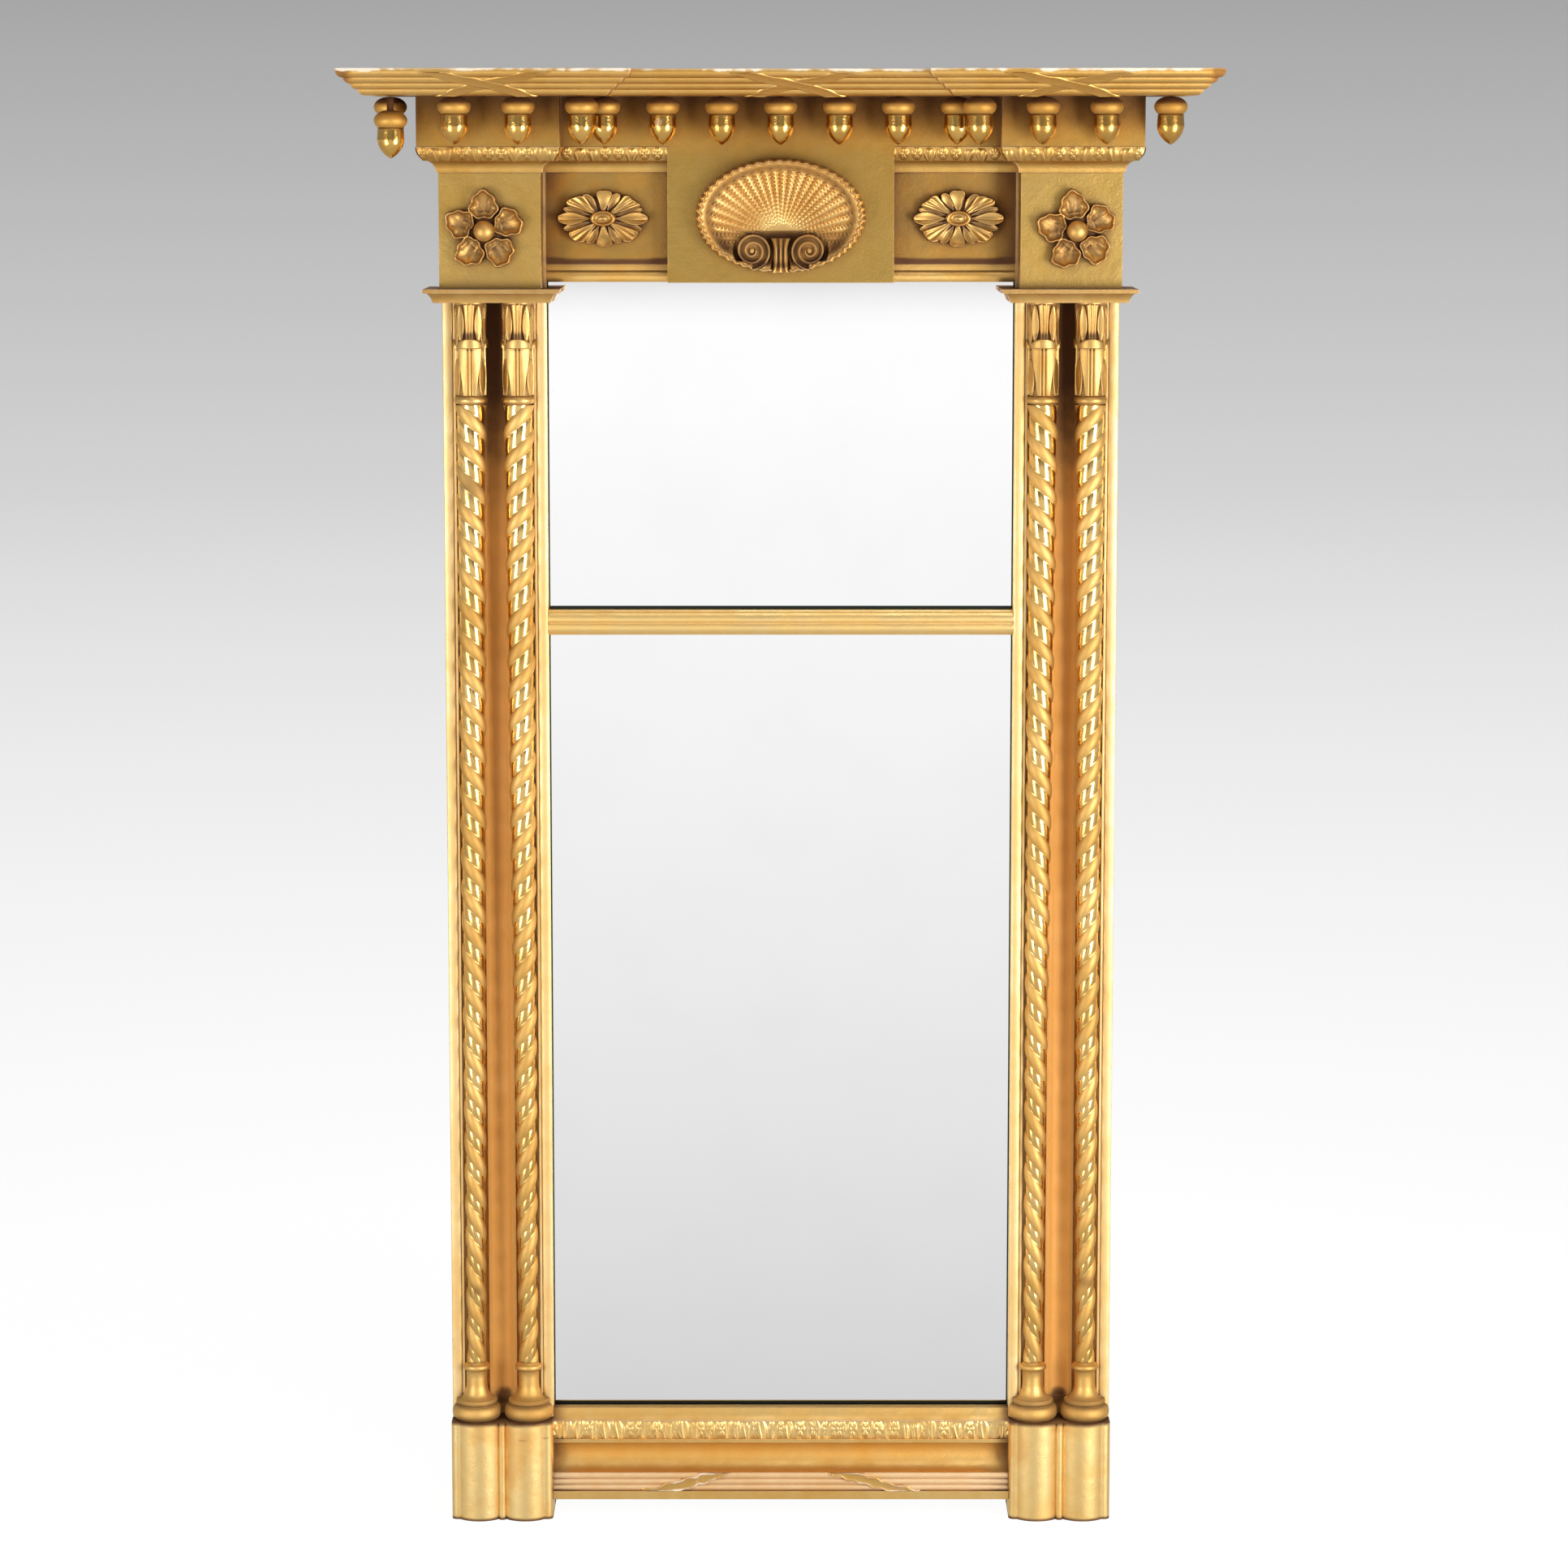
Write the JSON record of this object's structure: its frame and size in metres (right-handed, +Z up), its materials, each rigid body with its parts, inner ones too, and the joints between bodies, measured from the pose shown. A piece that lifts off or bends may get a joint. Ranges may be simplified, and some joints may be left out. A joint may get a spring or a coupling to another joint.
{
  "type": "pier mirror",
  "caption": "Tall gilt wall mirror in two plates between paired rope-twist columns, under a frieze with shell, flowers and a reeded cornice hung with acorns.",
  "frame": {"origin": "on the floor plane, under the middle of the whole outline, cornice included", "axes": "+Z up, -Y towards the viewer in front, +Y towards the wall, +X to the viewer's right"},
  "size_m": [0.6022, 0.1226, 1.032],
  "materials": {
    "gilt_flat": "matte gilding on gesso, worn to red bole and white gesso at edges",
    "gilt_burnished": "burnished gilding with darker hollows",
    "gilt_ornament": "gilding on pressed and carved ornament, brown in the hollows",
    "pine_back": "bare softwood, darkened with age",
    "mirror_glass": "silvered plate glass",
    "hanger_brass": "dull brass plate"
  },
  "bodies": {
    "root": {"left_stile": "gilt_flat", "right_stile": "gilt_flat", "left_corner_block": "gilt_flat", "right_corner_block": "gilt_flat", "left_upper_block": "gilt_flat", "right_upper_block": "gilt_flat", "left_frieze_panel": "gilt_flat", "right_frieze_panel": "gilt_flat", "frieze_tablet": "gilt_flat", "left_plinth": "gilt_flat", "right_plinth": "gilt_flat", "base_moulding": "gilt_flat", "left_abacus": "gilt_flat", "right_abacus": "gilt_flat", "left_acorns": "gilt_burnished", "right_acorns": "gilt_burnished", "centre_acorns": "gilt_burnished", "loose_acorn": "gilt_burnished", "divider_bar": "gilt_burnished", "left_architrave": "gilt_burnished", "right_architrave": "gilt_burnished", "base_reed_strip": "gilt_burnished", "left_cornice": "gilt_burnished", "centre_cornice": "gilt_burnished", "right_cornice": "gilt_burnished", "left_inner_foot": "gilt_burnished", "left_inner_shaft": "gilt_burnished", "left_outer_foot": "gilt_burnished", "left_outer_shaft": "gilt_burnished", "right_inner_foot": "gilt_burnished", "right_inner_shaft": "gilt_burnished", "right_outer_foot": "gilt_burnished", "right_outer_shaft": "gilt_burnished", "shell": "gilt_ornament", "left_patera": "gilt_ornament", "right_patera": "gilt_ornament", "left_rosette": "gilt_ornament", "right_rosette": "gilt_ornament", "base_leaf_band": "gilt_ornament", "left_bed_moulding": "gilt_ornament", "right_bed_moulding": "gilt_ornament", "left_panel_moulding": "gilt_ornament", "right_panel_moulding": "gilt_ornament", "left_inner_capital": "gilt_ornament", "left_outer_capital": "gilt_ornament", "right_inner_capital": "gilt_ornament", "right_outer_capital": "gilt_ornament", "top_rail": "pine_back", "bottom_rail": "pine_back", "upper_backboard": "pine_back", "lower_backboard": "pine_back", "glue_blocks": "pine_back", "cornice_board": "pine_back", "upper_glass": "mirror_glass", "lower_glass": "mirror_glass", "hanger_plates": "hanger_brass"}
  },
  "joints": []
}
